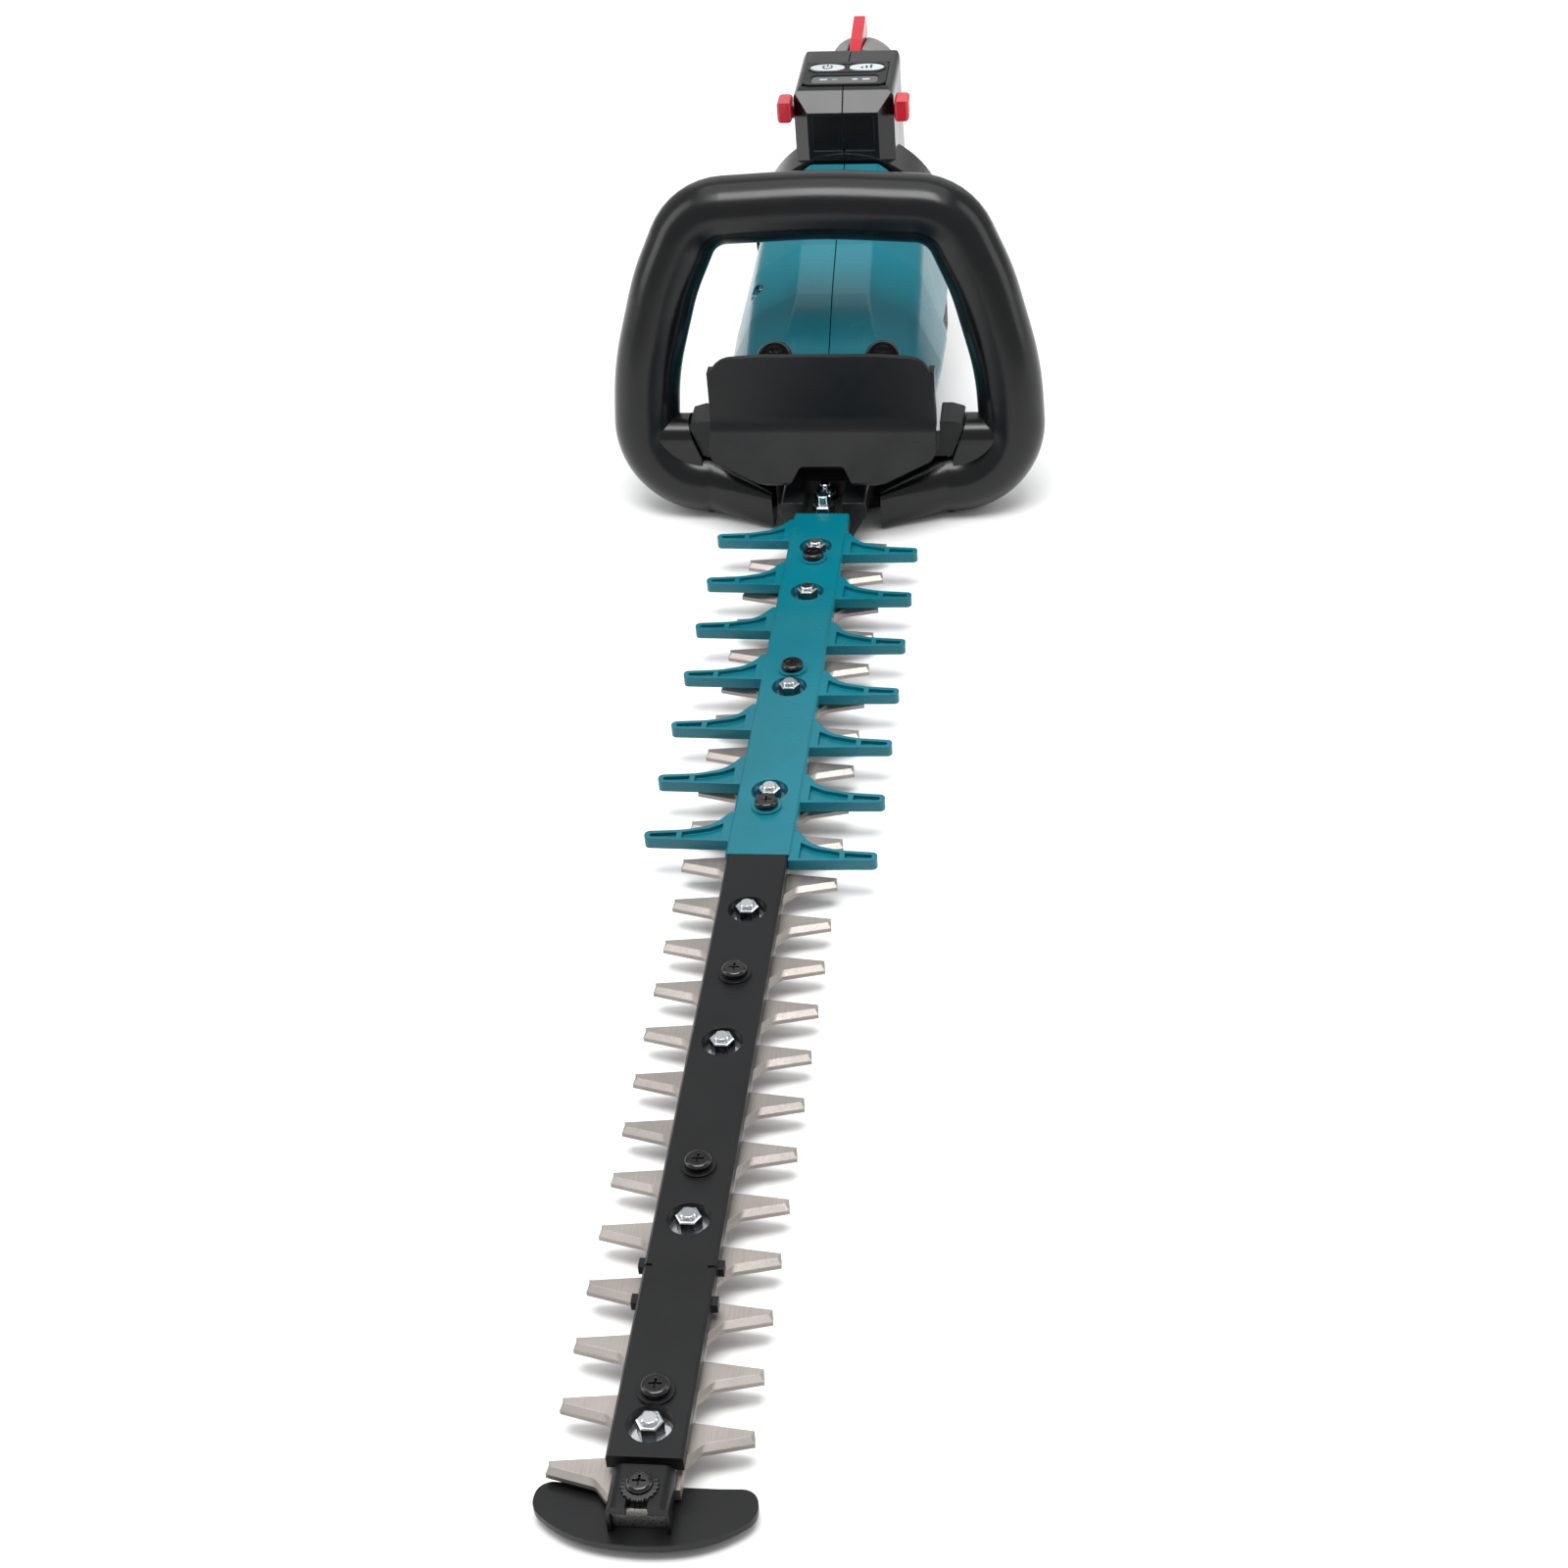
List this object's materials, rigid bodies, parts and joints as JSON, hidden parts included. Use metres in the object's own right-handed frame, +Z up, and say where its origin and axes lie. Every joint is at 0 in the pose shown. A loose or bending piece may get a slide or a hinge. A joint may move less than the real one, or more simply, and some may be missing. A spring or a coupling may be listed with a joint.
{
  "type": "hedge trimmer",
  "caption": "Cordless hedge trimmer with two reciprocating toothed blades, tip guard, finger comb, front loop handle and a turning rear handle with a shoe for a battery.",
  "frame": {"origin": "below the middle of the whole tool, at the level of the surface it stands on", "axes": "+Y from the blade tip towards the rear handle, +Z up, +X to the operator's right"},
  "size_m": [0.2232, 1.0295, 0.1752],
  "materials": {
    "blade_steel": "nickel-plated blade steel, ground tooth edges",
    "bar_steel": "bright rolled steel",
    "zinc_steel": "bright zinc-plated fasteners",
    "black_steel": "gloss black screws",
    "gear_steel": "machined steel",
    "lamination": "dark laminated steel",
    "copper": "enamelled copper wire",
    "cast_metal": "black-coated die casting",
    "black_plastic": "fine-grained black plastic",
    "satin_black_plastic": "satin black plastic",
    "teal_plastic": "glossy moulded plastic",
    "red_plastic": "satin moulded plastic",
    "white_plastic": "smooth white plastic",
    "dark_lens": "dark polished window",
    "circuit_board": "lacquered circuit board"
  },
  "bodies": {
    "cutter_frame": {"guide_bar": "bar_steel", "blade_cover_front": "black_plastic", "blade_cover_comb": "teal_plastic", "blade_bolts": "zinc_steel", "blade_nuts": "zinc_steel", "cover_screws": "black_steel", "tip_guard": "black_plastic", "tip_bracket": "black_plastic", "tip_screw": "black_steel", "gear_case_upper": "cast_metal", "gear_case_lower": "cast_metal", "gear_case_screws": "zinc_steel", "base_screws": "zinc_steel", "root_bolts": "zinc_steel", "root_nuts": "zinc_steel", "crank_bearing_upper": "gear_steel", "crank_bearing_lower": "gear_steel", "motor_mount": "cast_metal", "motor_bearings": "gear_steel", "motor_stator": "lamination", "motor_windings": "copper", "loop_handle": "satin_black_plastic", "loop_screws": "black_steel", "loop_base": "black_plastic", "guard_plate": "black_plastic", "guard_screws": "black_steel", "housing_left": "teal_plastic", "housing_right": "teal_plastic", "vent_grille_right": "black_plastic", "vent_grille_left": "black_plastic", "housing_screws": "black_steel", "swivel_ring": "black_plastic"},
    "upper_blade": {"upper_blade": "blade_steel"},
    "lower_blade": {"lower_blade": "blade_steel"},
    "crank": {"crank_gear": "gear_steel", "crankshaft": "gear_steel"},
    "rotor": {"motor_rotor": "lamination", "motor_shaft": "gear_steel", "cooling_fan": "black_plastic"},
    "rear_handle": {"rear_handle_left": "satin_black_plastic", "rear_handle_right": "satin_black_plastic", "handle_screws": "black_steel", "swivel_hub": "black_plastic", "trigger_pin": "gear_steel", "lock_off_pin": "gear_steel", "control_panel": "black_plastic", "indicator_lens": "dark_lens", "control_board": "circuit_board", "switch_module": "black_plastic", "motor_controller": "cast_metal", "terminal_block": "black_plastic", "battery_rails": "gear_steel"},
    "trigger": {"trigger": "black_plastic"},
    "lock_off_lever": {"lock_off_lever": "red_plastic"},
    "rotation_lock": {"rotation_lock": "red_plastic"},
    "power_button": {"power_button": "white_plastic"},
    "mode_button": {"mode_button": "white_plastic"}
  },
  "joints": [
    {"name": "rear_handle_turn", "type": "hinge", "parent": "cutter_frame", "child": "rear_handle", "pos_m": [0, 0.301, 0.0815], "axis": [0, 1, 0], "range_deg": [-90, 90]},
    {"name": "upper_blade_slide", "type": "slide", "parent": "cutter_frame", "child": "upper_blade", "axis": [0, 1, 0], "range_m": [-0.007, 0.007]},
    {"name": "lower_blade_slide", "type": "slide", "parent": "cutter_frame", "child": "lower_blade", "axis": [0, 1, 0], "range_m": [-0.007, 0.007]},
    {"name": "crank_spin", "type": "hinge", "parent": "cutter_frame", "child": "crank", "pos_m": [0, 0.197, 0.0215], "axis": [0, 0, 1], "continuous": true},
    {"name": "motor_spin", "type": "hinge", "parent": "cutter_frame", "child": "rotor", "pos_m": [0, 0.233, 0.0515], "axis": [0, 0, 1], "continuous": true},
    {"name": "trigger_pull", "type": "hinge", "parent": "rear_handle", "child": "trigger", "pos_m": [0, 0.387, 0.123], "axis": [1, 0, 0], "range_deg": [0, 8], "stiffness_Nm_per_rad": 0.6, "springref_deg": -5.73},
    {"name": "lock_off_press", "type": "hinge", "parent": "rear_handle", "child": "lock_off_lever", "pos_m": [0, 0.383, 0.1495], "axis": [1, 0, 0], "range_deg": [-10, 0], "stiffness_Nm_per_rad": 0.4, "springref_deg": 5.73},
    {"name": "rotation_lock_slide", "type": "slide", "parent": "rear_handle", "child": "rotation_lock", "axis": [0, 1, 0], "range_m": [0, 0.005], "stiffness_N_per_m": 300, "springref_m": -0.002},
    {"name": "power_button_press", "type": "slide", "parent": "rear_handle", "child": "power_button", "axis": [0, 0, -1], "range_m": [0, 0.0015], "stiffness_N_per_m": 400, "springref_m": -0.001},
    {"name": "mode_button_press", "type": "slide", "parent": "rear_handle", "child": "mode_button", "axis": [0, 0, -1], "range_m": [0, 0.0015], "stiffness_N_per_m": 400, "springref_m": -0.001}
  ],
  "couplings": [
    {"joint": "lower_blade_slide", "follows": "upper_blade_slide", "ratio": -1},
    {"joint": "motor_spin", "follows": "crank_spin", "ratio": -3}
  ]
}
